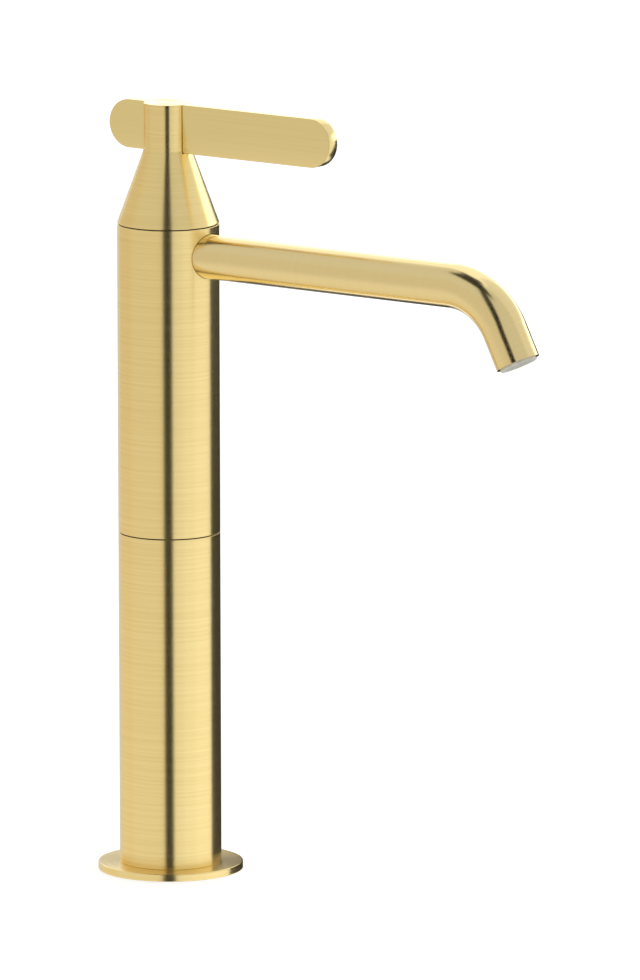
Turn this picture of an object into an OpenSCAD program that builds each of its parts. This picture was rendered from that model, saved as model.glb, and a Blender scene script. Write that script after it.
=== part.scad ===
// Tall deck-mounted basin mixer: two-part round column, cone handle with an upright flat
// lever, and a straight tubular spout with one downward bend.
// +Z is up, +X runs along the spout, and the origin is on the column's axis at deck level.

/* [Column] */
// Outside diameter of the column
column_d = 46; // [46:0.5:48]
// Height of the joint between riser and body above the deck
riser_h = 155; // [120:1:200]
// Height of the joint between body and handle above the deck
body_h = 295.5; // [285:0.5:330]
// Width of the gap at each joint of the column
joint_gap = 0.3; // [0.2:0.1:0.4]

/* [Base flange] */
// Outside diameter of the base flange
flange_d = 65.5; // [60:0.5:75]
// Thickness of the base flange
flange_h = 3.3; // [3:0.1:6]

/* [Handle] */
// Diameter of the post on top of the cone
post_d = 21.5; // [20:0.5:24]
// Height of the cone
cone_h = 33.5; // [33:0.5:36]
// Height of the lever bar
lever_h = 22; // [20:0.5:24]
// Thickness of the lever bar
lever_t = 6; // [5.5:0.5:7]
// Reach of the lever in front of the column's axis
lever_front = 92; // [60:1:120]
// Reach of the lever behind the column's axis
lever_back = 30.5; // [24:0.5:40]

/* [Spout] */
// Outside diameter of the spout tube
spout_d = 20; // [19.5:0.1:20.2]
// Wall thickness of the spout tube
spout_wall = 1.5; // [1.4:0.1:1.6]
// Distance from the column's axis to the start of the bend
spout_run = 156.5; // [100:0.5:220]
// Radius of the bend, at the tube's centre
bend_r = 32.6; // [28:0.1:50]
// Angle of the bend
bend_angle = 63; // [45:1:80]
// Straight length after the bend
spout_tip = 15.6; // [15:0.1:30]

/* [Fixing kit] */
// Thickness of the deck that the mixer is clamped to
deck_t = 20; // [10:1:35]
// Distance between the two fixing studs
stud_pitch = 28; // [28:0.5:29]
// Distance between the hot and cold inlets
inlet_pitch = 15; // [14.5:0.5:16]

/* [Hidden] */
$fn = 96;
fit = 0.05;
body_r = column_d / 2;
shell_ir = body_r - 2.5;
flange_r = flange_d / 2;
deck_hole_r = 17.5;
chamfer = 0.3;

stud_r = 3;
stud_low = -deck_t - 35;
foot_h = 12;
clamp_r = 24;
gasket_t = 3;
washer_t = 3;
nut_h = 5;
hose_slot_w = 11;
hose_slot_l = 27;

valve_r = shell_ir - 0.2;
valve_low = body_h - 52;
pocket_z = body_h - 11.5;
inlet_r = 4.5;
inlet_depth = 12;
port_orbit = 7;
inlet_x = port_orbit * cos(120);
port_r = 2.2;

seal_t = 1.2;
base_z = pocket_z + 0.2;
disc_z = base_z + 4;
disc_t = 3;
moving_z = disc_z + disc_t + fit;
driver_z = moving_z + disc_t;
housing_top = pocket_z + 19;
neck_top = housing_top + 4.5;
cartridge_r = 12.5;
thread_r = 14;
nut_z = housing_top;

cone_z = body_h + joint_gap;
post_r = post_d / 2;
post_z = cone_z + cone_h;
handle_top = post_z + lever_h - 1;
lever_z = handle_top - lever_h;
cone_slope = (body_r - post_r) / cone_h;
ceiling_z = cone_z + 15;
adapter_r = 7;
bore_top = lever_z - 4;

spout_r = spout_d / 2;
spout_ir = spout_r - spout_wall;
spout_z = body_h - 13.2;
socket_x = 14;
outlet_x = spout_run + bend_r * sin(bend_angle) + spout_tip * cos(bend_angle);
outlet_z = spout_z - bend_r * (1 - cos(bend_angle)) - spout_tip * sin(bend_angle);

gold = [0.83, 0.74, 0.49];
brass = [0.78, 0.62, 0.32];
steel = [0.7, 0.7, 0.72];
rubber = [0.1, 0.1, 0.1];
grey = [0.62, 0.62, 0.6];

// A tube from z0 up to z1
module tube(outer, inner, z0, z1) {
    translate([0, 0, z0]) difference() {
        cylinder(r = outer, h = z1 - z0);
        translate([0, 0, -1]) cylinder(r = inner, h = z1 - z0 + 2);
    }
}

// A solid cylinder from z0 up to z1
module cylinder_from(r, z0, z1) {
    translate([0, 0, z0]) cylinder(r = r, h = z1 - z0);
}

// A ring of round section, seen as an O-ring, lying in the XY plane
module oring(middle_r, section_r) {
    rotate_extrude() translate([middle_r, 0]) circle(r = section_r, $fn = 48);
}

// The cartridge's three ports stand on one circle, the outlet towards the spout
module at_ports() {
    for (a = [0, 120, 240]) rotate([0, 0, a]) translate([port_orbit, 0, 0]) children();
}

// The place of one stud, then of the other
module at_studs() {
    for (side = [-1, 1]) translate([side * stud_pitch / 2, 0, 0]) children();
}

// The slot that the two hoses come down through
module hose_slot(h) {
    half = hose_slot_l / 2 - hose_slot_w / 2;
    for (side = [-1, 1]) translate([inlet_x, side * half, 0])
        cylinder(d = hose_slot_w, h = h);
    translate([inlet_x - hose_slot_w / 2, -half, 0]) cube([hose_slot_w, 2 * half, h]);
}

// A tube wall with a small chamfer on the outer edge at both of its ends
module column_tube(z0, z1) {
    rotate_extrude() polygon([
        [shell_ir, z0], [body_r - chamfer, z0], [body_r, z0 + chamfer],
        [body_r, z1 - chamfer], [body_r - chamfer, z1], [shell_ir, z1]]);
}

// Moves its children to the spout's mouth, with +Z pointing out along the water
module at_outlet() {
    translate([outlet_x, 0, outlet_z]) rotate([0, 90 + bend_angle, 0]) children();
}

module base_flange() {
    edge = 0.4;
    color(gold) rotate_extrude() polygon([
        [deck_hole_r, 1.6], [23, 1.6], [23, 1.5], [28.8, 1.5], [28.8, 0],
        [flange_r - edge, 0], [flange_r, edge], [flange_r, flange_h - edge],
        [flange_r - edge, flange_h], [deck_hole_r, flange_h]]);
}

module base_gasket() {
    color(rubber) tube(28.7, 23, 0, 1.45);
}

module riser_shell() {
    color(gold) column_tube(flange_h, riser_h - joint_gap / 2);
}

// Closes the column's foot, takes the studs and leaves a slot for the hoses
module riser_foot() {
    color(brass) translate([0, 0, flange_h + 0.05]) difference() {
        cylinder(r = shell_ir - fit, h = foot_h);
        translate([0, 0, -1]) {
            hose_slot(foot_h + 2);
            at_studs() cylinder(r = stud_r + fit, h = foot_h + 2);
        }
    }
}

module fixing_studs() {
    color(steel) at_studs() translate([0, 0, stud_low])
        cylinder(r = stud_r, h = flange_h + foot_h - 1 - stud_low);
}

// Horseshoe plate with stud holes, open towards +Y so that it slips round the hoses
module horseshoe(r, h) {
    difference() {
        cylinder(r = r, h = h);
        translate([0, 0, -1]) {
            hose_slot(h + 2);
            translate([inlet_x - hose_slot_w / 2, 0, 0]) cube([hose_slot_w, r + 1, h + 2]);
            at_studs() cylinder(r = stud_r + 0.3, h = h + 2);
        }
    }
}

module clamp_gasket() {
    color(rubber) translate([0, 0, -deck_t - gasket_t]) horseshoe(clamp_r, gasket_t);
}

module clamp_washer() {
    color(steel) translate([0, 0, -deck_t - gasket_t - washer_t])
        horseshoe(clamp_r, washer_t - 0.02);
}

module fixing_nuts() {
    color(steel) at_studs() translate([0, 0, -deck_t - gasket_t - washer_t - nut_h - 0.02])
        difference() {
            cylinder(d = 11.5, h = nut_h, $fn = 6);
            translate([0, 0, -1]) cylinder(r = stud_r + fit, h = nut_h + 2);
        }
}

// Thin spacer that fills the joint a little below the column's surface
module joint_ring() {
    color(rubber) tube(body_r - 0.45, shell_ir + fit,
        riser_h - joint_gap / 2 + 0.01, riser_h + joint_gap / 2 - 0.01);
}

module coupling_sleeve() {
    color(brass) tube(shell_ir - fit, shell_ir - 3.5, riser_h - 20, riser_h + 20);
}

module body_shell() {
    color(gold) difference() {
        column_tube(riser_h + joint_gap / 2, body_h);
        translate([shell_ir - 6, 0, spout_z]) rotate([0, 90, 0])
            cylinder(r = spout_r + fit, h = 12);
    }
}

// Turned brass block: inlets below, cartridge pocket on top, spout socket at the side
module valve_body() {
    neck_r = 15.6;
    shoulder_z = body_h - 3;
    color(brass) difference() {
        rotate([0, 0, 180]) {
            cylinder_from(valve_r, valve_low, shoulder_z);
            cylinder_from(neck_r, shoulder_z - 1, housing_top + 2.5);
        }
        translate([0, 0, pocket_z]) cylinder(r = cartridge_r + 0.1, h = 40);
        translate([0, 0, housing_top - 3]) cylinder(r = thread_r, h = 40);
        for (side = [-1, 1]) {
            translate([inlet_x, side * inlet_pitch / 2, valve_low - 1])
                cylinder(r = inlet_r, h = inlet_depth + 1);
            translate([inlet_x, side * port_orbit * sin(120), valve_low + 8])
                cylinder(r = port_r, h = pocket_z - valve_low);
        }
        translate([port_orbit, 0, spout_z - 4]) cylinder(r = 3, h = 8);
        translate([port_orbit, 0, spout_z - 3]) rotate([0, 90, 0]) cylinder(r = 2.4, h = 9);
        translate([socket_x, 0, spout_z]) rotate([0, 90, 0]) cylinder(r = 8, h = 10);
    }
}

// Slip ring that centres the handle cone on the body
module glide_ring() {
    neck_clear = 15.7;
    color([0.15, 0.15, 0.15]) union() {
        tube(body_r - 0.45, neck_clear, body_h + 0.02, body_h + 0.2);
        tube(20.2, neck_clear, body_h - 2.9, body_h + 0.1);
        tube(20.15, neck_clear, body_h + 0.1, body_h + 3.5);
    }
}

module cartridge_base() {
    color("white") difference() {
        translate([0, 0, base_z]) cylinder(r = cartridge_r - 0.2, h = disc_z - base_z);
        at_ports() translate([0, 0, base_z - 1]) {
            cylinder(r = port_r, h = 10);
            cylinder(r = 3.4, h = seal_t + 0.85);
        }
    }
}

module cartridge_seals() {
    color(rubber) at_ports() tube(3.35, port_r, pocket_z + 0.02, pocket_z + seal_t);
}

module fixed_disc() {
    color("white") difference() {
        translate([0, 0, disc_z + 0.02]) cylinder(r = 9.8, h = disc_t - 0.02);
        at_ports() translate([0, 0, disc_z - 1]) cylinder(r = port_r, h = disc_t + 2);
    }
}

module cartridge_housing() {
    color("white") difference() {
        union() {
            tube(cartridge_r, 10, disc_z + 0.02, driver_z + 4);
            tube(cartridge_r, 5.05, driver_z + 4, housing_top);
            tube(8, 5.05, housing_top, neck_top);
        }
        tube(6.6, 4, housing_top + 0.5, housing_top + 2.1);
    }
}

module spindle_oring() {
    color(rubber) translate([0, 0, housing_top + 1.3]) oring(5.81, 0.74);
}

// Ring nut that holds the cartridge down, with a hexagon for the spanner
module retaining_nut() {
    color(brass) difference() {
        union() {
            translate([0, 0, nut_z + 0.02]) cylinder(r = thread_r - fit, h = 2.5);
            translate([0, 0, nut_z + 2]) cylinder(r = 13.5, h = 4, $fn = 6);
        }
        translate([0, 0, nut_z - 1]) cylinder(r = 8.1, h = 10);
    }
}

// Solid of the spout's outline, from the column's axis to the mouth. Bending draws the tube in
// by a hair, and the straight lengths run a little way into the bend, so all three are one solid.
module spout_sweep(r, over = 0) {
    lap = 1;
    draw_in = 0.12;
    translate([10, 0, spout_z]) rotate([0, 90, 0])
        cylinder(r = r, h = spout_run - 10 + lap);
    translate([spout_run, 0, spout_z - bend_r]) rotate([90, 0, 0])
        rotate([0, 0, 90 - bend_angle]) rotate_extrude(angle = bend_angle)
            translate([bend_r, 0]) circle(r = r - draw_in);
    at_outlet() translate([0, 0, -spout_tip - lap])
        cylinder(r = r, h = spout_tip + lap + over);
}

module spout_tube() {
    color(gold) difference() {
        spout_sweep(spout_r);
        spout_sweep(spout_ir, 1);
        rotate([0, 0, 180]) cylinder(r = shell_ir - fit, h = body_h);
    }
}

module spout_nipple() {
    color(brass) difference() {
        union() {
            translate([socket_x + 1.5, 0, spout_z]) rotate([0, 90, 0])
                cylinder(r = 8 - fit, h = 8);
            translate([20.5, 0, spout_z]) rotate([0, 90, 0])
                cylinder(r = spout_ir - fit, h = 16);
        }
        translate([socket_x, 0, spout_z]) rotate([0, 90, 0]) cylinder(r = 6, h = 30);
    }
}

module spout_oring() {
    color(rubber) translate([socket_x + 0.75, 0, spout_z]) rotate([0, 90, 0])
        oring(7.1, 0.7);
}

module aerator_housing() {
    color(grey) at_outlet() difference() {
        translate([0, 0, -11]) cylinder(r = spout_ir - fit, h = 11.9);
        translate([0, 0, -9.8]) cylinder(r = 7.6, h = 12);
        translate([0, 0, -12]) cylinder(r = 6.4, h = 10);
    }
}

module aerator_core() {
    color(grey) at_outlet() difference() {
        translate([0, 0, -9.7]) cylinder(r = 7.5, h = 10.5);
        translate([0, 0, -11]) {
            cylinder(r = 0.8, h = 13);
            for (ring = [1, 2, 3], k = [0 : ring * 6 - 1])
                rotate([0, 0, k * 60 / ring]) translate([ring * 2.1, 0, 0])
                    cylinder(r = 0.7, h = 13);
        }
    }
}

module aerator_sieve() {
    color(grey) at_outlet() difference() {
        translate([0, 0, -12.6]) cylinder(r = 6.2, h = 2.7);
        translate([0, 0, -11.8]) cylinder(r = 5.5, h = 3);
        for (k = [0 : 5]) rotate([0, 0, k * 60]) translate([3.4, 0, -13])
            cylinder(r = 1.1, h = 3);
    }
}

module aerator_gasket() {
    color(rubber) at_outlet() tube(spout_ir - 0.1, 6.3, -13, -11.02);
}

module moving_disc() {
    color("white") difference() {
        translate([0, 0, moving_z]) cylinder(r = 9, h = disc_t - 0.02);
        translate([4, 0, moving_z - 1]) cylinder(r = 3.6, h = 2.5);
        for (side = [-1, 1]) translate([0, side * 8, driver_z - 1.5])
            cylinder(r = 1.6, h = 3);
    }
}

// Brass spindle: a driver flange with two dogs below, a square on top
module spindle() {
    color(brass) union() {
        translate([0, 0, driver_z]) cylinder(r = 9, h = 3.5);
        translate([0, 0, driver_z + 3]) cylinder(r = 5, h = neck_top - driver_z - 3);
        translate([-3.5, -3.5, neck_top - 1]) cube([7, 7, 12]);
        for (side = [-1, 1]) translate([0, side * 8, driver_z - 1.4]) intersection() {
            cylinder(r = 1.5, h = 2);
            translate([0, -side * 8, 0]) cylinder(r = 9, h = 2);
        }
    }
}

module spindle_adapter() {
    color(brass) difference() {
        translate([0, 0, ceiling_z + 0.2]) cylinder(r = adapter_r, h = 9.5);
        translate([-3.55, -3.55, ceiling_z - 1]) cube([7.1, 7.1, 9.5]);
    }
}

// The bar's outline, as tall as lever_h and lying in the XZ plane
module lever_bar(grow = 0) {
    end_r = lever_h / 2;
    t = lever_t + 2 * grow;
    translate([0, t / 2, lever_z + end_r]) rotate([90, 0, 0]) {
        translate([lever_front - end_r, 0, 0]) cylinder(r = end_r, h = t);
        translate([end_r - lever_back, 0, 0]) cylinder(r = end_r, h = t);
        translate([end_r - lever_back, -end_r, 0])
            cube([lever_front + lever_back - 2 * end_r, 2 * end_r, t]);
    }
}

// The cone and its post are one turned piece, hollow under the cone for the cartridge's neck
module handle_cone() {
    wall = 2.9;
    skirt_top = cone_z + 4;
    color(gold) difference() {
        rotate_extrude() polygon([
            [20.22, cone_z], [body_r - chamfer, cone_z], [body_r, cone_z + chamfer],
            [post_r, post_z], [post_r, handle_top - chamfer],
            [post_r - chamfer, handle_top], [0, handle_top], [0, bore_top],
            [adapter_r + fit, bore_top], [adapter_r + fit, ceiling_z],
            [body_r - wall - cone_slope * (ceiling_z - cone_z), ceiling_z],
            [body_r - wall - cone_slope * (skirt_top - cone_z), skirt_top],
            [20.22, skirt_top]]);
        lever_bar(fit);
        translate([-30, -lever_t / 2 - fit, lever_z + 8])
            cube([60, lever_t + 2 * fit, lever_h]);
        at_lever_screws() translate([0, 0, bore_top - 1]) cylinder(r = 1.55, h = 10);
        translate([-30, 0, setscrew_z()]) rotate([0, 90, 0]) cylinder(r = 2.5 + fit, h = 30);
    }
}

// Height of the setscrew above the deck, half way up the adapter
function setscrew_z() = ceiling_z + 5;

// The place of one lever screw, then of the other
module at_lever_screws() {
    for (side = [-1, 1]) translate([side * 4, 0, 0]) children();
}

module handle_lever() {
    color(gold) difference() {
        lever_bar();
        at_lever_screws() translate([0, 0, lever_z - 1]) cylinder(r = 1.55, h = 11);
    }
}

module lever_screws() {
    color(steel) at_lever_screws() difference() {
        union() {
            translate([0, 0, bore_top - 0.5]) cylinder(r = 1.5, h = 13);
            translate([0, 0, bore_top - 2.5]) cylinder(r = 2.6, h = 2.48);
        }
        translate([0, 0, bore_top - 3]) cylinder(d = 2.3, h = 1.8, $fn = 6);
    }
}

module handle_setscrew() {
    outer_x = body_r - cone_slope * (setscrew_z() - cone_z) - 1.6;
    color(steel) translate([-outer_x, 0, setscrew_z()]) rotate([0, 90, 0]) difference() {
        cylinder(r = 2.5, h = outer_x - adapter_r - 0.02);
        translate([0, 0, -1]) cylinder(d = 2.9, h = 3.5, $fn = 6);
    }
}

base_flange();
base_gasket();
riser_shell();
riser_foot();
fixing_studs();
clamp_gasket();
clamp_washer();
fixing_nuts();
joint_ring();
coupling_sleeve();
body_shell();
valve_body();
glide_ring();
cartridge_base();
cartridge_seals();
fixed_disc();
cartridge_housing();
spindle_oring();
retaining_nut();
spout_tube();
spout_nipple();
spout_oring();
aerator_gasket();
aerator_sieve();
aerator_core();
aerator_housing();
moving_disc();
spindle();
spindle_adapter();
handle_cone();
handle_lever();
lever_screws();
handle_setscrew();
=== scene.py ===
"""Looks of a tall single-hole basin mixer in brushed gold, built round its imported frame."""

import logging
import math
from collections.abc import Sequence
from dataclasses import dataclass, field
from enum import Enum

import bmesh
import bpy
from mathutils import Matrix, Vector


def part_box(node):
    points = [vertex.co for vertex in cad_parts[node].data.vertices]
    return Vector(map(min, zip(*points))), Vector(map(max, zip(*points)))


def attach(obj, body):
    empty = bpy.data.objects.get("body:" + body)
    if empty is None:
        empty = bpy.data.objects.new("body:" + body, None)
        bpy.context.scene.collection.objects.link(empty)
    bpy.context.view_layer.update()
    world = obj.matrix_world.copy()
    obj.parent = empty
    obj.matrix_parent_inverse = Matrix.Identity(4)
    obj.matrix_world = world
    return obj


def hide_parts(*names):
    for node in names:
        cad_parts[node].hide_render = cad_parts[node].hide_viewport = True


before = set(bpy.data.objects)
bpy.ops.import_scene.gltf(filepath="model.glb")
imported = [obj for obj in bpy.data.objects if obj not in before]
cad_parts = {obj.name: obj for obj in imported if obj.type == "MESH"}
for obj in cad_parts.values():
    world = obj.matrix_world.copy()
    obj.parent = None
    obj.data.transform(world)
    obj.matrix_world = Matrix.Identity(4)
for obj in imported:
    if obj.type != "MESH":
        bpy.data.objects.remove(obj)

LOG = logging.getLogger("mixer")
MM = 0.001
FULL_TURN = 2 * math.pi
Colour = tuple[float, float, float]
Profile = list[tuple[float, float]]


class Sock:
    """A node socket on which Python arithmetic adds Math nodes."""

    def __init__(self, graph: "Graph", socket: bpy.types.NodeSocket) -> None:
        """Wraps one output socket of a graph."""
        self.graph = graph
        self.socket = socket

    def math(self, operation: str, *others: "Sock | float") -> "Sock":
        """Applies one Math node, with this socket as its first value.

        Args:
            operation: The Math node's operation.
            others: The node's further values.

        Returns:
            The result's socket.
        """
        return self.graph.maths(operation, self, *others)

    def __add__(self, other: "Sock | float") -> "Sock":
        """Adds."""
        return self.math("ADD", other)

    __radd__ = __add__

    def __sub__(self, other: "Sock | float") -> "Sock":
        """Subtracts."""
        return self.math("SUBTRACT", other)

    def __rsub__(self, other: "Sock | float") -> "Sock":
        """Subtracts this from a number."""
        return self.graph.maths("SUBTRACT", other, self)

    def __mul__(self, other: "Sock | float") -> "Sock":
        """Multiplies."""
        return self.math("MULTIPLY", other)

    def ramp(self, low: float, high: float) -> "Sock":
        """Rises smoothly from 0 at low to 1 at high.

        Args:
            low: Value where the rise starts.
            high: Value where it ends; below low, the ramp falls instead.

        Returns:
            The ramp's socket.
        """
        if low > high:
            return 1 - self.ramp(high, low)
        mapped = self.graph.add(
            "ShaderNodeMapRange",
            {"interpolation_type": "SMOOTHSTEP"},
            {"Value": self, "From Min": low, "From Max": high},
        )
        return self.graph.out(mapped)

    def between(self, low: float, high: float, soft: float) -> "Sock":
        """Is 1 from low to high and fades out at both ends.

        Args:
            low: Lower end.
            high: Upper end.
            soft: Width over which each end fades.

        Returns:
            The mask's socket.
        """
        half = soft / 2
        return self.ramp(low - half, low + half) * self.ramp(high + half, high - half)


class Graph:
    """Builds one node tree."""

    def __init__(self, tree: bpy.types.NodeTree) -> None:
        """Empties the tree."""
        self.tree = tree
        tree.nodes.clear()

    def add(
        self, kind: str, settings: dict | None = None, inputs: dict | None = None
    ) -> bpy.types.Node:
        """Adds one node.

        Args:
            kind: The node's type name.
            settings: Its properties, set first.
            inputs: Values or links of its sockets, by name or number.

        Returns:
            The node.
        """
        node = self.tree.nodes.new(kind)
        for key, value in (settings or {}).items():
            setattr(node, key, value)
        for key, value in (inputs or {}).items():
            if isinstance(value, Sock):
                self.tree.links.new(value.socket, node.inputs[key])
            else:
                node.inputs[key].default_value = value
        return node

    def out(self, node: bpy.types.Node, name: str | int = 0) -> Sock:
        """Wraps one output of a node."""
        return Sock(self, node.outputs[name])

    def maths(self, operation: str, *values: Sock | float) -> Sock:
        """Adds a Math node over the given values."""
        node = self.add("ShaderNodeMath", {"operation": operation}, dict(enumerate(values)))
        return self.out(node)

    def combine(self, x: Sock | float, y: Sock | float, z: Sock | float) -> Sock:
        """Puts three values together as a vector."""
        return self.out(self.add("ShaderNodeCombineXYZ", None, {0: x, 1: y, 2: z}))

    def split(self, vector: Sock) -> tuple[Sock, Sock, Sock]:
        """Takes a vector apart."""
        node = self.add("ShaderNodeSeparateXYZ", None, {0: vector})
        return self.out(node, 0), self.out(node, 1), self.out(node, 2)

    def show(self, node: bpy.types.Node, kind: str = "ShaderNodeOutputMaterial") -> None:
        """Links a shader node to a new output node."""
        self.add(kind, None, {"Surface": self.out(node)})

    def place(self) -> tuple[Sock, Sock, Sock]:
        """The object coordinates, in metres."""
        return self.split(self.out(self.add("ShaderNodeTexCoord"), "Object"))

    def noise(self, vector: Sock, scale: float, detail: float) -> Sock:
        """Noise from 0 to 1 at a vector.

        Args:
            vector: Where the noise is read.
            scale: Its fineness.
            detail: Its octaves.

        Returns:
            The noise's value.
        """
        node = self.add(
            "ShaderNodeTexNoise", None, {"Vector": vector, "Scale": scale, "Detail": detail}
        )
        return self.out(node, "Fac" if "Fac" in node.outputs else "Factor")

    def blend(self, factor: Sock, first: Colour | Sock, second: Colour) -> Sock:
        """Mixes two colours by a factor.

        Args:
            factor: 0 for the first colour and 1 for the second.
            first: A colour, or the socket of one.
            second: A colour.

        Returns:
            The mixed colour's socket.
        """
        under = first if isinstance(first, Sock) else (*first, 1.0)
        node = self.add(
            "ShaderNodeMix",
            {"data_type": "RGBA", "clamp_factor": True},
            {0: factor, 6: under, 7: (*second, 1.0)},
        )
        return self.out(node, 2)


@dataclass(frozen=True)
class Finish:
    """A surface finish; each kind below draws its own pattern.

    Attributes:
        name: The finish's name in the record.
        light: The colour of its lighter places.
        deep: The colour of its deeper places.
        metallic: 1 for bare metal and 0 for the rest.
        rough: Its mean roughness.
        swing: How far the roughness goes either way.
        relief: Strength of the surface's relief.
        depth: Height of the relief, in metres.
        mottle: Fineness of the slow pattern, for each metre.
        grain: Fineness of the relief, for each metre.
    """

    name: str
    light: Colour
    deep: Colour
    metallic: float = 0.0
    rough: float = 0.4
    swing: float = 0.1
    relief: float = 0.1
    depth: float = 2e-5
    mottle: float = 90.0
    grain: float = 2600.0

    def pattern(self, graph: Graph) -> tuple[Sock, Sock]:
        """The finish's pattern.

        Args:
            graph: The material's node tree.

        Returns:
            A mask from 0 to 1 for colour and roughness, and a height for the relief.
        """
        x, y, z = graph.place()
        spot = graph.combine(x, y, z)
        return graph.noise(spot, self.mottle, 3.0), graph.noise(spot, self.grain, 2.0)

    def constants(self) -> dict:
        """Values that are the same all over the surface."""
        return {}

    def build(self, suffix: str = "") -> bpy.types.Material:
        """Makes the material.

        Args:
            suffix: Ending of the material's name, where a finish has several lays.

        Returns:
            The material.
        """
        material = bpy.data.materials.new(self.name + suffix)
        material.use_nodes = True
        graph = Graph(material.node_tree)
        mask, height = self.pattern(graph)
        bump = graph.add(
            "ShaderNodeBump",
            None,
            {"Strength": self.relief, "Distance": self.depth, "Height": height},
        )
        shader = graph.add(
            "ShaderNodeBsdfPrincipled",
            None,
            {
                "Base Color": graph.blend(mask, self.deep, self.light),
                "Metallic": self.metallic,
                "Roughness": self.rough + (mask - 0.5) * (2 * self.swing),
                "Normal": graph.out(bump),
                **self.constants(),
            },
        )
        graph.show(shader)
        return material


class Lay(Enum):
    """The way that brush lines run."""

    ROUND = "_turned"
    LENGTH = "_drawn"
    TUBE = "_tube"


@dataclass(frozen=True)
class BrushedMetal(Finish):
    """Metal with fine brush lines.

    Attributes:
        lay: The way the lines run.
        stretch: Anisotropy of the highlight.
        turn: Turn of the highlight from the tangent, as a share of a full turn.
        fine: Lines for each metre, in the fine layer.
        coarse: Lines for each metre, in the coarse layer.
        fine_breaks: Breaks for each metre along a fine line.
        coarse_breaks: Breaks for each metre along a coarse line.
        fine_share: Share of the fine layer in colour and roughness.
        contrast: Where the colour's ramp starts and ends.
    """

    lay: Lay = Lay.ROUND
    stretch: float = 0.0
    turn: float = 0.0
    fine: float = 7000.0
    coarse: float = 1100.0
    fine_breaks: float = 26.0
    coarse_breaks: float = 14.0
    fine_share: float = 0.35
    contrast: tuple[float, float] = (0.28, 0.72)

    def across(self, graph: Graph) -> tuple[Sock, Sock, Sock]:
        """Position across the lines, then two slow positions along them."""
        x, y, z = graph.place()
        if self.lay is Lay.ROUND:
            radius = graph.maths("SQRT", x * x + y * y)
            return z + radius, x, y
        if self.lay is Lay.LENGTH:
            return z + y * 1.7, x * 0.7, x * 0.3
        run, _, _ = graph.split(graph.out(graph.add("ShaderNodeUVMap", {"uv_map": "along"})))
        return run, y, z

    def pattern(self, graph: Graph) -> tuple[Sock, Sock]:
        """Lines in two layers, broken up along their length."""
        across, one, two = self.across(graph)
        layers = []
        for count, breaks, detail in (
            (self.fine, self.fine_breaks, 1.0),
            (self.coarse, self.coarse_breaks, 2.0),
        ):
            spot = graph.combine(one * breaks, two * breaks, across * count)
            layers.append(graph.noise(spot, 1.0, detail))
        fine, coarse = layers
        mask = (fine * self.fine_share + coarse * (1 - self.fine_share)).ramp(*self.contrast)
        return mask, fine * 0.6 + coarse * 0.4

    def constants(self) -> dict:
        """The highlight's stretch, set once for the whole surface."""
        return {"Anisotropic": self.stretch, "Anisotropic Rotation": self.turn}


@dataclass(frozen=True)
class GridPlastic(Finish):
    """Moulded plastic of the aerator, with a faint weave of flow lines.

    Attributes:
        weft: Radians for each metre of the lines across Y.
        warp: Radians for each metre of the lines across X and Z.
    """

    weft: float = 5200.0
    warp: float = 4200.0

    def pattern(self, graph: Graph) -> tuple[Sock, Sock]:
        """Fine crossing lines under a slow mottle."""
        x, y, z = graph.place()
        weave = graph.maths("SINE", y * self.weft) * graph.maths("SINE", (x + z) * self.warp)
        mottle = graph.noise(graph.combine(x, y, z), self.mottle, 3.0)
        return mottle.ramp(0.25, 0.75), weave * 0.5 + mottle


GOLD_LIGHT: Colour = (0.985, 0.79, 0.365)
GOLD_DEEP: Colour = (0.92, 0.715, 0.31)
GOLD_TURNED = BrushedMetal(
    "brushed_gold", GOLD_LIGHT, GOLD_DEEP, metallic=1.0, rough=0.26, swing=0.008,
    relief=0.022, depth=1.2e-5, lay=Lay.ROUND, stretch=0.72, turn=0.25,
)
GOLD_DRAWN = BrushedMetal(
    "brushed_gold", (0.945, 0.765, 0.355), (0.915, 0.735, 0.335), metallic=1.0, rough=0.2,
    swing=0.02, relief=0.05, depth=1.0e-5, lay=Lay.LENGTH,
)
GOLD_TUBE = BrushedMetal(
    "brushed_gold", (0.93, 0.755, 0.375), (0.9, 0.72, 0.35), metallic=1.0, rough=0.18,
    swing=0.03, relief=0.12, depth=1.2e-5, lay=Lay.TUBE,
)
RAW_BRASS = BrushedMetal(
    "raw_brass", (0.82, 0.6, 0.26), (0.66, 0.45, 0.17), metallic=1.0, rough=0.3, swing=0.08,
    relief=0.2, depth=2e-5, coarse=1800.0,
)
STAINLESS = BrushedMetal(
    "stainless", (0.66, 0.66, 0.65), (0.5, 0.5, 0.5), metallic=1.0, rough=0.3, swing=0.07,
    relief=0.15, depth=2e-5, coarse=1500.0,
)
BLACK_RUBBER = Finish(
    "black_rubber", (0.035, 0.034, 0.033), (0.016, 0.016, 0.016), rough=0.74, swing=0.1,
    relief=0.4, depth=4e-5,
)
BLACK_PLASTIC = Finish(
    "black_plastic", (0.04, 0.04, 0.042), (0.022, 0.022, 0.024), rough=0.46, swing=0.08,
    relief=0.2, depth=2e-5,
)
WHITE_PLASTIC = Finish(
    "white_plastic", (0.8, 0.8, 0.77), (0.7, 0.7, 0.66), rough=0.42, swing=0.06,
    relief=0.12, depth=2e-5,
)
CERAMIC = Finish(
    "ceramic", (0.86, 0.83, 0.76), (0.78, 0.74, 0.66), rough=0.16, swing=0.05,
    relief=0.05, depth=1e-5,
)
AERATOR_GREY = GridPlastic(
    "aerator_grey", (0.6, 0.585, 0.52), (0.48, 0.47, 0.42), rough=0.5, swing=0.08,
    relief=0.3, depth=8e-5, mottle=420.0,
)
HIDDEN_FINISHES: dict[str, Finish] = {
    finish.name: finish
    for finish in (
        RAW_BRASS, STAINLESS, BLACK_RUBBER, BLACK_PLASTIC, WHITE_PLASTIC, CERAMIC, AERATOR_GREY
    )
}


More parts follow.
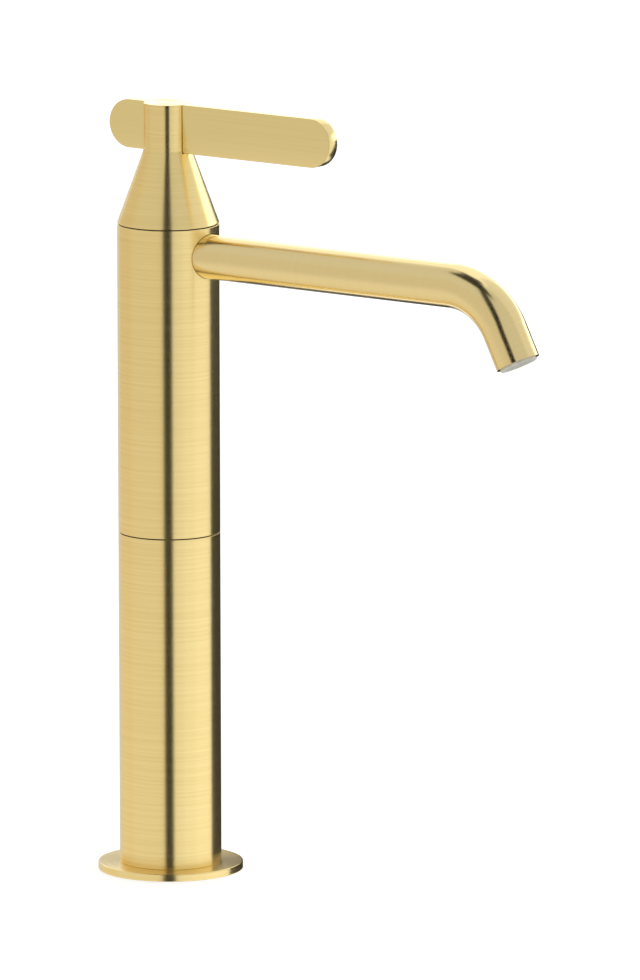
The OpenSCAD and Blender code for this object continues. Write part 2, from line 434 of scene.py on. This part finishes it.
@dataclass
class Paintshop:
    """Makes each material once."""

    made: dict[str, bpy.types.Material] = field(default_factory=dict)

    def of(self, finish: Finish) -> bpy.types.Material:
        """The material of a finish."""
        suffix = finish.lay.value if isinstance(finish, BrushedMetal) else ""
        key = finish.name + suffix
        if key not in self.made:
            self.made[key] = finish.build(suffix)
        return self.made[key]


def rounded(
    corners: Sequence[tuple[float, float, float]], segments: int = 4, hold: float = 0.25 * MM
) -> Profile:
    """Rounds the corners of a closed outline.

    Args:
        corners: Radius, height and rounding of each corner, in metres.
        segments: Steps of each rounding.
        hold: Distance of the loops that keep the walls beside a rounding straight.

    Returns:
        The outline's points.
    """
    points: Profile = []
    for index, (r, z, cut) in enumerate(corners):
        corner = Vector((r, z))
        if cut <= 0:
            points.append((r, z))
            continue
        back = (Vector(corners[index - 1][:2]) - corner).normalized()
        ahead = (Vector(corners[(index + 1) % len(corners)][:2]) - corner).normalized()
        start, end = corner + back * cut, corner + ahead * cut
        points.append(tuple(start + back * hold))
        for step in range(segments + 1):
            t = step / segments
            curve = start * (1 - t) ** 2 + corner * (2 * t * (1 - t)) + end * t * t
            points.append(tuple(curve))
        points.append(tuple(end + ahead * hold))
    return points


def closed(bm: bmesh.types.BMesh) -> bmesh.types.BMesh:
    """Welds a mesh's doubles and turns its faces outwards."""
    bmesh.ops.remove_doubles(bm, verts=bm.verts, dist=1e-7)
    bmesh.ops.recalc_face_normals(bm, faces=bm.faces)
    return bm


def lathe(outline: Profile, steps: int = 180) -> bmesh.types.BMesh:
    """Spins a closed outline once round Z.

    Args:
        outline: Radius and height of its points.
        steps: Steps of the spin.

    Returns:
        The turned mesh.
    """
    bm = bmesh.new()
    verts = [bm.verts.new((r, 0, z)) for r, z in outline]
    edges = [bm.edges.new(pair) for pair in zip(verts, verts[1:] + verts[:1])]
    bmesh.ops.spin(
        bm, geom=verts + edges, cent=(0, 0, 0), axis=(0, 0, 1), angle=FULL_TURN, steps=steps,
        use_merge=True, use_duplicate=False,
    )
    return closed(bm)


def rod(radius: float, low: float, high: float, matrix: Matrix, steps: int) -> bmesh.types.BMesh:
    """Makes a plain round cutter on the Z axis of a matrix.

    Args:
        radius: Its radius.
        low: Where it starts on the axis.
        high: Where it ends.
        matrix: The frame that holds the axis.
        steps: Its sides.

    Returns:
        The cutter.
    """
    bm = bmesh.new()
    place = matrix @ Matrix.Translation((0, 0, (low + high) / 2))
    bmesh.ops.create_cone(
        bm, cap_ends=True, segments=steps, radius1=radius, radius2=radius, depth=high - low,
        matrix=place,
    )
    return bm


def block(low: Vector, high: Vector) -> bmesh.types.BMesh:
    """A box-shaped cutter between two corners."""
    bm = bmesh.new()
    place = Matrix.Translation((low + high) / 2) @ Matrix.Diagonal((*(high - low), 1))
    bmesh.ops.create_cube(bm, size=1.0, matrix=place)
    return bm


def joined(bm: bmesh.types.BMesh, other: bmesh.types.BMesh) -> bmesh.types.BMesh:
    """Adds a second mesh, which is freed, to a mesh."""
    mesh = bpy.data.meshes.new("part")
    other.to_mesh(mesh)
    other.free()
    bm.from_mesh(mesh)
    bpy.data.meshes.remove(mesh)
    return bm


def linked(name: str, bm: bmesh.types.BMesh) -> bpy.types.Object:
    """Makes an object of a mesh, which is freed, and links it to the scene."""
    mesh = bpy.data.meshes.new(name)
    bm.to_mesh(mesh)
    bm.free()
    thing = bpy.data.objects.new(name, mesh)
    bpy.context.scene.collection.objects.link(thing)
    return thing


def carved(bm: bmesh.types.BMesh, *cutters: bmesh.types.BMesh) -> bmesh.types.BMesh:
    """Cuts other meshes out of a mesh.

    Args:
        bm: The mesh that is cut; it is freed.
        cutters: The meshes that cut it; they are freed.

    Returns:
        The cut mesh.
    """
    spare = [linked("shape", shape) for shape in (bm, *cutters)]
    for tool in spare[1:]:
        cut = spare[0].modifiers.new("cut", "BOOLEAN")
        cut.operation, cut.solver, cut.object = "DIFFERENCE", "EXACT", tool
    graph = bpy.context.evaluated_depsgraph_get()
    result = bpy.data.meshes.new_from_object(spare[0].evaluated_get(graph))
    out = bmesh.new()
    out.from_mesh(result)
    for item in spare:
        mesh = item.data
        bpy.data.objects.remove(item)
        bpy.data.meshes.remove(mesh)
    bpy.data.meshes.remove(result)
    return out


@dataclass
class Workshop:
    """Turns meshes into dressed pieces that ride on the frame."""

    paint: Paintshop = field(default_factory=Paintshop)

    def piece(
        self,
        name: str,
        bm: bmesh.types.BMesh,
        body: str,
        finish: Finish,
        *nodes: str,
        sharp: float = 32.0,
    ) -> None:
        """Makes one piece.

        Args:
            name: The piece's name.
            bm: Its mesh, which is freed.
            body: The body it rides on.
            finish: Its finish.
            nodes: The CAD nodes it stands for.
            sharp: Angle above which an edge stays sharp, in degrees.
        """
        thing = linked(name, bm)
        mesh = thing.data
        mesh.polygons.foreach_set("use_smooth", [True] * len(mesh.polygons))
        mesh.set_sharp_from_angle(angle=math.radians(sharp))
        mesh.materials.append(self.paint.of(finish))
        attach(thing, body)
        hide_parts(*nodes)
        LOG.info("%s: %d faces, rides on %s", name, len(mesh.polygons), body)

    def dress(self, node: str) -> None:
        """Gives a CAD node that is shown as it is the finish of its slot."""
        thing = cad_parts[node]
        for slot in thing.material_slots:
            finish = slot.material.name.split(".")[0]
            slot.material = self.paint.of(HIDDEN_FINISHES[finish])
        LOG.info("%s: CAD node, dressed", node)


@dataclass
class Column:
    """Flange, riser and body: the turned tubes that stand on the deck."""

    shop: Workshop
    wall: float = 2.5 * MM
    ease: float = 0.28 * MM
    seam: float = 0.15 * MM
    flange_bore: float = 17.5 * MM
    flange_seat: float = 23 * MM
    flange_dish: float = 28.8 * MM
    flange_plate: float = 1.6 * MM
    flange_hollow: float = 1.5 * MM
    flange_ease: float = 0.5 * MM
    spout_hole: float = 10.16 * MM

    def tube(self, name: str, node: str, hole: bmesh.types.BMesh | None = None) -> None:
        """Makes one length of the column.

        Args:
            name: The piece's name.
            node: The CAD node it stands for.
            hole: What is cut from its wall.
        """
        low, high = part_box(node)
        outer = (high.x - low.x) / 2
        inner, ease, top = outer - self.wall, self.ease, high.z - self.seam
        corners = [(inner, low.z, ease), (outer, low.z, ease), (outer, top, ease), (inner, top, ease)]
        bm = lathe(rounded(corners))
        if hole:
            bm = carved(bm, hole)
        self.shop.piece(name, bm, "column", GOLD_TURNED, node)

    def flange(self) -> None:
        """The dished ring that hides the deck hole."""
        low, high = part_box("base_flange")
        outer, top, ease = (high.x - low.x) / 2, high.z, self.flange_ease
        outline = rounded(
            [
                (self.flange_bore, self.flange_plate, 0),
                (self.flange_seat, self.flange_plate, 0),
                (self.flange_seat, self.flange_hollow, 0),
                (self.flange_dish, self.flange_hollow, 0),
                (self.flange_dish, low.z, 0),
                (outer, low.z, ease * 0.6),
                (outer, top, ease),
                (self.flange_bore, top, 0),
            ],
            6,
        )
        self.shop.piece("flange_ring", lathe(outline, 240), "column", GOLD_TURNED, "base_flange")

    def build(self) -> None:
        """Makes the column's shown pieces."""
        self.flange()
        self.tube("riser_tube", "riser_shell")
        low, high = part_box("spout_nipple")
        centre = Matrix.Translation((0, 0, (low.z + high.z) / 2))
        aside = centre @ Matrix.Rotation(math.pi / 2, 4, "Y")
        hole = rod(self.spout_hole, 15 * MM, 30 * MM, aside, 128)
        self.tube("body_tube", "body_shell", hole)


@dataclass
class Spout:
    """The bent tube and what shows at its mouth."""

    shop: Workshop
    radius: float = 10 * MM
    wall: float = 1.5 * MM
    bend_radius: float = 32.6 * MM
    bend: float = math.radians(63)
    run: float = 156.5 * MM
    tip: float = 15.6 * MM
    root: float = 20.5 * MM
    lip: float = 0.35 * MM
    lip_round: float = 0.22 * MM
    rim: float = 7.5 * MM
    core_bore: float = 5.9 * MM
    face: float = 0.8 * MM
    core_back: float = -9.7 * MM
    cells: int = 14
    cell_wall: float = 0.2 * MM
    cell_depth: float = 1.6 * MM
    round_steps: int = 96
    level_steps: int = 12
    bend_steps: int = 48
    height: float = field(init=False)
    mouth: Matrix = field(init=False)
    ahead: Vector = field(init=False)

    def __post_init__(self) -> None:
        """Finds the level length's height, the mouth's frame and the water's way out of it."""
        self.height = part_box("spout_tube")[1].z - self.radius
        reach = self.run + self.bend_radius * math.sin(self.bend) + self.tip * math.cos(self.bend)
        drop = self.bend_radius * (1 - math.cos(self.bend)) + self.tip * math.sin(self.bend)
        turn = Matrix.Rotation(math.pi / 2 + self.bend, 4, "Y")
        self.mouth = Matrix.Translation((reach, 0, self.height - drop)) @ turn
        self.ahead = self.mouth.to_3x3() @ Vector((0, 0, 1))

    def skin(self, radius: float) -> bmesh.types.BMesh:
        """Sweeps one open skin of the tube from its root to the mouth.

        Args:
            radius: The skin's radius.

        Returns:
            The skin.
        """
        bm = bmesh.new()
        start = Matrix.Translation((self.root, 0, self.height)) @ Matrix.Rotation(math.pi / 2, 4, "Y")
        ring = bmesh.ops.create_circle(
            bm, cap_ends=False, segments=self.round_steps, radius=radius, matrix=start
        )
        edges = list({edge for vert in ring["verts"] for edge in vert.link_edges})
        for _ in range(self.level_steps):
            edges = self.drawn(bm, edges, Vector(((self.run - self.root) / self.level_steps, 0, 0)))
        verts = list({vert for edge in edges for vert in edge.verts})
        last = bmesh.ops.spin(
            bm, geom=verts + edges, cent=(self.run, 0, self.height - self.bend_radius),
            axis=(0, 1, 0), angle=self.bend, steps=self.bend_steps, use_merge=False,
            use_duplicate=False,
        )["geom_last"]
        edges = [item for item in last if isinstance(item, bmesh.types.BMEdge)]
        for share in (0.5, 0.5 - self.lip * 2 / self.tip, self.lip / self.tip):
            edges = self.drawn(bm, edges, self.ahead * self.tip * share)
        return bm

    @staticmethod
    def drawn(bm: bmesh.types.BMesh, edges: list, step: Vector) -> list:
        """Extrudes a loop of edges by a step and returns the new loop."""
        made = bmesh.ops.extrude_edge_only(bm, edges=edges)["geom"]
        verts = [item for item in made if isinstance(item, bmesh.types.BMVert)]
        bmesh.ops.translate(bm, verts=verts, vec=step)
        return [
            item for item in made
            if isinstance(item, bmesh.types.BMEdge) and all(vert in verts for vert in item.verts)
        ]

    def along(self, point: Vector) -> float:
        """Distance of a point from the column, measured along the bent tube."""
        if point.x <= self.run:
            return point.x
        centre = Vector((self.run, 0, self.height - self.bend_radius))
        angle = math.atan2(point.x - centre.x, point.z - centre.z)
        if angle <= self.bend:
            return self.run + self.bend_radius * angle
        start = self.mouth.translation - self.ahead * self.tip
        return self.run + self.bend_radius * self.bend + (point - start).dot(self.ahead)

    def at_lip(self, edge: bmesh.types.BMEdge) -> bool:
        """Tells whether an edge is a sharp one in the plane of the mouth."""
        mouth = self.mouth.translation
        level = all(abs((vert.co - mouth).dot(self.ahead)) < 1e-6 for vert in edge.verts)
        return level and len(edge.link_faces) == 2 and edge.calc_face_angle(0) > 1

    def tube(self) -> None:
        """The gold tube, with a small round on its lip."""
        bm = joined(self.skin(self.radius), self.skin(self.radius - self.wall))
        rims = [edge for edge in bm.edges if edge.is_boundary]
        front = [edge for edge in rims if edge.verts[0].co.x > self.run]
        back = [edge for edge in rims if edge.verts[0].co.x < self.run]
        for pair in (front, back):
            bmesh.ops.bridge_loops(bm, edges=pair)
        closed(bm)
        lips = [edge for edge in bm.edges if self.at_lip(edge)]
        bmesh.ops.bevel(
            bm, geom=lips, offset=self.lip_round, segments=3, profile=0.5, affect="EDGES",
            material=-1,
        )
        uv = bm.loops.layers.uv.new("along")
        for face in bm.faces:
            for loop in face.loops:
                point = loop.vert.co
                loop[uv].uv = (self.along(point), math.atan2(point.y, self.radius) / FULL_TURN)
        self.shop.piece("spout_pipe", bm, "column", GOLD_TUBE, "spout_tube")

    def honeycomb(self) -> bmesh.types.BMesh:
        """The aerator's grid of sunk cells, round in outline."""
        bm = bmesh.new()
        bmesh.ops.create_grid(bm, x_segments=self.cells, y_segments=self.cells, size=self.rim)
        edge = self.rim - 1.05 * MM
        away = [item for item in bm.faces if item.calc_center_median().length > edge]
        bmesh.ops.delete(bm, geom=away, context="FACES")
        inset = bmesh.ops.inset_individual(
            bm, faces=list(bm.faces), thickness=self.cell_wall, use_even_offset=True
        )
        walls = set(inset["faces"])
        holes = [item for item in bm.faces if item not in walls]
        sunk = bmesh.ops.extrude_discrete_faces(bm, faces=holes)["faces"]
        verts = list({vert for item in sunk for vert in item.verts})
        bmesh.ops.translate(bm, verts=verts, vec=(0, 0, -self.cell_depth))
        bmesh.ops.translate(bm, verts=bm.verts, vec=(0, 0, self.face - 0.15 * MM))
        return bm

    def aerator_core(self) -> None:
        """The insert's face: a fine honeycomb in a round rim."""
        ease, step = 0.2 * MM, self.face - 0.35 * MM
        outline = rounded(
            [
                (self.core_bore, self.core_back, 0),
                (self.rim, self.core_back, ease),
                (self.rim, self.face, ease),
                (self.rim - 0.9 * MM, self.face, ease),
                (self.rim - 1.1 * MM, step, 0),
                (self.core_bore, step, 0),
            ],
            3,
            0.1 * MM,
        )
        bm = joined(lathe(outline, 96), self.honeycomb())
        bmesh.ops.create_circle(
            bm, cap_ends=True, segments=64, radius=self.core_bore + 0.05 * MM,
            matrix=Matrix.Translation((0, 0, self.face - 1.9 * MM)),
        )
        bmesh.ops.transform(bm, matrix=self.mouth, verts=bm.verts)
        self.shop.piece("aerator_face", bm, "column", AERATOR_GREY, "aerator_core")

    def aerator_housing(self) -> None:
        """The threaded ring round the insert, a little proud of the lip."""
        outer, inner, mouth = 8.45 * MM, 7.6 * MM, 6.4 * MM
        back, seat, front = -11 * MM, -9.8 * MM, self.face + 0.1 * MM
        outline = rounded(
            [
                (mouth, back, 0),
                (outer, back, 0),
                (outer, front, 0.3 * MM),
                (inner, front, 0.1 * MM),
                (inner, seat, 0),
                (mouth, seat, 0),
            ],
            3,
            0.1 * MM,
        )
        bm = lathe(outline, 96)
        bmesh.ops.transform(bm, matrix=self.mouth, verts=bm.verts)
        self.shop.piece("aerator_ring", bm, "column", AERATOR_GREY, "aerator_housing")

    def build(self) -> None:
        """Makes the spout's shown pieces."""
        self.tube()
        self.aerator_core()
        self.aerator_housing()


@dataclass
class Handle:
    """The turned cone and post, with the flat lever through them."""

    shop: Workshop
    ease: float = 0.28 * MM
    neck_ease: float = 0.12 * MM
    post: float = 10.75 * MM
    shoulder: float = 33.5 * MM
    skirt: float = 20.22 * MM
    skirt_depth: float = 4 * MM
    cone_inside: float = 18.6 * MM
    pocket: float = 14.6 * MM
    pocket_top: float = 15 * MM
    socket: float = 9 * MM
    socket_top: float = 24 * MM
    screw_bore: float = 3 * MM
    screw_seat: float = 26 * MM
    slack: float = 0.26 * MM
    grub_hole: float = 2.55 * MM
    lever_ease: float = 0.3 * MM
    end_steps: int = 32

    def cone(self) -> None:
        """Cone and post in one piece, slotted for the lever and drilled for the grub screw."""
        low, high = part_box("handle_cone")
        lever_low, lever_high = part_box("handle_lever")
        screw_low, screw_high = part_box("handle_setscrew")
        outer, reach = (high.x - low.x) / 2, 30 * MM
        outline = rounded(
            [
                (self.skirt, low.z, 0),
                (outer, low.z, self.ease),
                (self.post, low.z + self.shoulder, self.neck_ease),
                (self.post, high.z, self.ease),
                (self.screw_bore, high.z, 0),
                (self.screw_bore, low.z + self.screw_seat, 0),
                (self.socket, low.z + self.socket_top, 0),
                (self.socket, low.z + self.pocket_top, 0),
                (self.pocket, low.z + self.pocket_top, 0),
                (self.cone_inside, low.z + self.skirt_depth, 0),
                (self.skirt, low.z + self.skirt_depth, 0),
            ]
        )
        slot = block(
            Vector((-reach, lever_low.y - self.slack, lever_low.z - self.slack)),
            Vector((reach, lever_high.y + self.slack, high.z + MM)),
        )
        centre = Matrix.Translation((0, 0, (screw_low.z + screw_high.z) / 2))
        hole = rod(self.grub_hole, 10 * MM, reach, centre @ Matrix.Rotation(-math.pi / 2, 4, "Y"), 64)
        bm = carved(lathe(outline), slot, hole)
        self.shop.piece("cone_and_post", bm, "handle", GOLD_TURNED, "handle_cone")

    def lever(self) -> None:
        """The flat bar with full-round ends."""
        low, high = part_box("handle_lever")
        end = (high.z - low.z) / 2
        middle = (high.z + low.z) / 2
        bm = bmesh.new()
        for centre_x, side in ((high.x - end, 1), (low.x + end, -1)):
            first = bm.verts.new((centre_x, low.y, middle + side * end))
            bmesh.ops.spin(
                bm, geom=[first], cent=(centre_x, low.y, middle), axis=(0, 1, 0), angle=math.pi,
                steps=self.end_steps, use_merge=False, use_duplicate=False,
            )
        ends = [vert for vert in bm.verts if len(vert.link_edges) == 1]
        for level in (high.z, low.z):
            pair = [vert for vert in ends if abs(vert.co.z - level) < 1e-6]
            bm.edges.new(pair)
        side_face = bmesh.ops.contextual_create(bm, geom=list(bm.edges))["faces"]
        made = bmesh.ops.extrude_face_region(bm, geom=side_face)["geom"]
        verts = [item for item in made if isinstance(item, bmesh.types.BMVert)]
        bmesh.ops.translate(bm, verts=verts, vec=(0, high.y - low.y, 0))
        closed(bm)
        rims = [edge for edge in bm.edges if edge.calc_face_angle(0) > 1]
        bmesh.ops.bevel(
            bm, geom=rims, offset=self.lever_ease, segments=3, profile=0.5, affect="EDGES",
            material=-1,
        )
        self.shop.piece("lever_bar", bm, "handle", GOLD_DRAWN, "handle_lever", sharp=50)

    def build(self) -> None:
        """Makes the handle's shown pieces."""
        self.cone()
        self.lever()


@dataclass
class FixingKit:
    """Threaded studs and their nuts, under the deck."""

    shop: Workshop
    pitch: float = 28 * MM
    thread: float = 1.0 * MM
    depth: float = 0.35 * MM
    nut_corner: float = 5.75 * MM
    nut_bore: float = 3.05 * MM
    nut_ease: float = 0.3 * MM

    def studs(self) -> None:
        """Two threaded rods."""
        low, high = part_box("fixing_studs")
        crest = (high.y - low.y) / 2
        root = crest - self.depth
        outline: Profile = [(0.0, low.z), (root, low.z)]
        for turn in range(int((high.z - low.z) / self.thread)):
            base = low.z + turn * self.thread
            for radius, share in ((root, 0.15), (crest, 0.5), (root, 0.85)):
                outline.append((radius, base + share * self.thread))
        outline += [(root, high.z), (0.0, high.z)]
        bm = bmesh.new()
        for side in (-1, 1):
            stud = lathe(outline, 20)
            bmesh.ops.translate(stud, verts=stud.verts, vec=(side * self.pitch / 2, 0, 0))
            joined(bm, stud)
        self.shop.piece("threaded_studs", closed(bm), "column", STAINLESS, "fixing_studs")

    def nuts(self) -> None:
        """Two hexagon nuts with eased corners."""
        low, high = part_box("fixing_nuts")
        bm = bmesh.new()
        for side in (-1, 1):
            place = Matrix.Translation((side * self.pitch / 2, 0, low.z))
            rings = []
            for sides, radius in ((6, self.nut_corner), (24, self.nut_bore)):
                rings += bmesh.ops.create_circle(
                    bm, cap_ends=False, segments=sides, radius=radius, matrix=place
                )["verts"]
            edges = list({edge for vert in rings for edge in vert.link_edges})
            faces = bmesh.ops.bridge_loops(bm, edges=edges)["faces"]
            made = bmesh.ops.extrude_face_region(bm, geom=faces)["geom"]
            verts = [item for item in made if isinstance(item, bmesh.types.BMVert)]
            bmesh.ops.translate(bm, verts=verts, vec=(0, 0, high.z - low.z))
        closed(bm)
        rims = [edge for edge in bm.edges if edge.calc_face_angle(0) > 0.9]
        bmesh.ops.bevel(
            bm, geom=rims, offset=self.nut_ease, segments=2, profile=0.5, affect="EDGES",
            material=-1,
        )
        self.shop.piece("hex_nuts", bm, "column", STAINLESS, "fixing_nuts", sharp=25)

    def build(self) -> None:
        self.studs()
        self.nuts()


@dataclass(frozen=True)
class Card:
    """A curved card that stands near the mixer and shows only in its reflections.

    Attributes:
        name: The card's name.
        left: Bearing of its left edge from the camera, in degrees.
        right: Bearing of its right edge.
        low: Height of its lower edge, in metres.
        high: Height of its upper edge.
        away: Its distance from the column.
        glow: Its brightness.
    """

    name: str
    left: float
    right: float
    low: float
    high: float
    away: float
    glow: float

    def stand(self, front: float) -> Graph:
        """Stands the card up.

        Args:
            front: Bearing of the camera, in radians.

        Returns:
            The empty node tree of its material.
        """
        start = front + math.radians(self.left)
        foot = Vector((math.cos(start), math.sin(start), 0)) * self.away
        bm = bmesh.new()
        ends = [bm.verts.new(foot + Vector((0, 0, level))) for level in (self.low, self.high)]
        bmesh.ops.spin(
            bm, geom=[*ends, bm.edges.new(ends)], cent=(0, 0, 0), axis=(0, 0, 1),
            angle=math.radians(self.right - self.left), steps=24, use_merge=False,
            use_duplicate=False,
        )
        thing = linked(self.name, bm)
        material = bpy.data.materials.new(self.name)
        material.use_nodes = True
        thing.data.materials.append(material)
        thing.visible_camera = thing.visible_diffuse = thing.visible_shadow = False
        return Graph(material.node_tree)


@dataclass(frozen=True)
class Panel:
    """One soft panel of the studio, seen from the mixer.

    Attributes:
        left: Bearing of its left edge from the camera, in degrees.
        right: Bearing of its right edge.
        low: Elevation of its lower edge.
        high: Elevation of its upper edge.
        glow: Its brightness.
        soft: Width over which its sides fade.
        fade: Height over which its upper and lower edges fade.
    """

    left: float
    right: float
    low: float
    high: float
    glow: float
    soft: float = 2.0
    fade: float = 6.0

    def mask(self, theta: Sock, rise: Sock) -> Sock:
        """Is 1 inside the panel, by bearing and elevation."""
        across = theta.between(self.left, self.right, self.soft)
        return across * rise.between(self.low, self.high, self.fade)


@dataclass(frozen=True)
class Tint:
    """A warm tint that reflections from one side take.

    Attributes:
        left: Bearing of its left edge from the camera, in degrees.
        right: Bearing of its right edge.
        colour: Its colour.
        soft: Width over which its sides fade.
    """

    left: float
    right: float
    colour: Colour
    soft: float = 14.0

    def mask(self, theta: Sock, rise: Sock) -> Sock:
        """Is 1 inside the tint, which leaves out what comes from high up or from below."""
        return theta.between(self.left, self.right, self.soft) * rise.between(-60, 30, 16.0)


@dataclass
class Studio:
    """Floor, soft light panels, cards and camera."""

    position: Vector = field(default_factory=lambda: Vector((3.5828, -4.7956, 1.2758)))
    back: Vector = field(default_factory=lambda: Vector((0.57963, -0.79449, 0.18113)))
    roll: float = math.radians(-0.124)
    lens: float = 496.2
    sensor: float = 36.0
    floor_size: float = 60.0
    floor_glow: float = 0.47
    overhead: float = 1.15
    panels: tuple[Panel, ...] = (
        Panel(104, 182, -95, 18, 2.2),
        Panel(104, 182, -95, -12, 0.95),
        Panel(152, 182, -95, -12, 0.08),
        Panel(-182, -152, -95, 30, 1.7),
        Panel(104, 150, 18, 75, 0.85),
        Panel(0, 108, -95, 80, 1.0),
        Panel(-20, 60, -95, 14, 0.93, 14.0),
        Panel(-20, 33, -95, 14, 0.84, 14.0),
        Panel(0, 106, 16, 80, 0.84),
        Panel(-20, 65, 16, 75, 0.71, 14.0),
        Panel(-152, 0, -95, 78, 0.75),
        Panel(-182, -152, -28, 2, 0.75),
        Panel(-158, -144, -95, -28, 1.2),
        Panel(-182, -158, -95, -28, 0.1),
        Panel(-182, 182, 84, 95, 0.03, 2.0, 5.0),
        Panel(-150, -100, 71, 95, 0.03, 20.0, 6.0),
        Panel(-110, 12, 60, 95, 0.03, 16.0, 6.0),
    )
    tints: tuple[Tint, ...] = (
        Tint(-145, -8, (1.0, 0.955, 0.885)),
        Tint(-150, -93, (0.98, 0.885, 0.74)),
    )
    cards: tuple[Card, ...] = (
        Card("card_front", -11.2, 8.4, -2.5, 3.2, 0.5, 0.012),
        Card("card_right", 107.2, 180.3, -0.4, 0.37, 1.0, 0.03),
        Card("card_left", -179.7, -140, -0.3, 0.37, 1.0, 0.7),
    )
    veil: Card = Card("veil", -139.0, 106.0, -2.5, 2.5, 0.6, 0.14)
    veil_dark: float = 0.26
    veil_light: float = -0.12
    veil_sheer: float = 0.93

    @property
    def front(self) -> float:
        """Bearing of the camera from the mixer, in radians."""
        return math.atan2(self.back.y, self.back.x)

    def world(self) -> None:
        """Lights the mixer with panels all round; between them is the overhead cloth."""
        world = bpy.data.worlds.new("studio")
        bpy.context.scene.world = world
        world.use_nodes = True
        graph = Graph(world.node_tree)
        x, y, z = graph.split(graph.out(graph.add("ShaderNodeTexCoord"), "Generated"))
        ahead = x * math.cos(self.front) + y * math.sin(self.front)
        aside = y * math.cos(self.front) - x * math.sin(self.front)
        theta = graph.maths("ARCTAN2", aside, ahead) * math.degrees(1)
        rise = graph.maths("ARCSINE", z) * math.degrees(1)
        light: Sock | float = self.overhead
        for panel in self.panels:
            light = light + panel.mask(theta, rise) * (panel.glow - light)
        path = graph.add("ShaderNodeLightPath")
        strength = light + graph.out(path, "Is Camera Ray") * (1.0 - light)
        colour: Colour | Sock = (1, 1, 1)
        for tint in self.tints:
            mask = tint.mask(theta, rise) * graph.out(path, "Is Glossy Ray")
            colour = graph.blend(mask, colour, tint.colour)
        cloth = graph.add("ShaderNodeBackground", None, {"Color": colour, "Strength": strength})
        graph.show(cloth, "ShaderNodeOutputWorld")

    def card(self, card: Card) -> None:
        """Stands one evenly lit card up."""
        graph = card.stand(self.front)
        graph.show(graph.add("ShaderNodeEmission", None, {"Strength": card.glow}))

    def curtain(self) -> None:
        """Stands up the sheer veil, which brightens reflections low down on the mixer."""
        graph = self.veil.stand(self.front)
        low = graph.place()[2].ramp(self.veil_dark, self.veil_light)
        sheer = graph.add("ShaderNodeBsdfTransparent", None, {"Color": (*[self.veil_sheer] * 3, 1)})
        glow = graph.add("ShaderNodeEmission", None, {"Strength": low * self.veil.glow})
        both = {0: graph.out(sheer), 1: graph.out(glow)}
        graph.show(graph.add("ShaderNodeAddShader", None, both))

    def floor(self) -> None:
        """A pale floor that takes a soft shadow."""
        bm = bmesh.new()
        bmesh.ops.create_grid(bm, x_segments=1, y_segments=1, size=self.floor_size)
        material = bpy.data.materials.new("pale_floor")
        material.use_nodes = True
        graph = Graph(material.node_tree)
        paint = {
            "Base Color": (0.85, 0.85, 0.85, 1),
            "Roughness": 0.9,
            "Specular IOR Level": 0.0,
            "Emission Color": (1, 1, 1, 1),
            "Emission Strength": self.floor_glow,
        }
        graph.show(graph.add("ShaderNodeBsdfPrincipled", None, paint))
        floor = linked("floor", bm)
        floor.data.materials.append(material)
        floor.visible_glossy = False

    def camera(self) -> None:
        """A long lens a little above the spout."""
        data = bpy.data.cameras.new("camera")
        data.lens, data.sensor_width = self.lens, self.sensor
        data.clip_start, data.clip_end = 0.1, 300.0
        camera = bpy.data.objects.new("camera", data)
        bpy.context.scene.collection.objects.link(camera)
        turn = self.back.to_track_quat("Z", "Y").to_matrix().to_4x4()
        turn = turn @ Matrix.Rotation(self.roll, 4, "Z")
        camera.matrix_world = Matrix.Translation(self.position) @ turn
        bpy.context.scene.camera = camera

    def build(self) -> None:
        """Sets up the studio."""
        self.world()
        self.floor()
        for card in self.cards:
            self.card(card)
        self.curtain()
        self.camera()
        bpy.context.scene.view_settings.view_transform = "Standard"


REDRAWN = {
    "base_flange", "riser_shell", "body_shell", "spout_tube", "aerator_core", "aerator_housing",
    "handle_cone", "handle_lever", "fixing_studs", "fixing_nuts",
}


def main() -> None:
    """Builds the mixer's looks and its studio."""
    logging.basicConfig(level=logging.INFO, format="%(message)s")
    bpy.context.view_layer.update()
    shop = Workshop()
    for maker in (Column, Spout, Handle, FixingKit):
        maker(shop).build()
    for node in sorted(set(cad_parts) - REDRAWN):
        shop.dress(node)
    Studio().build()


if __name__ == "__main__":
    main()
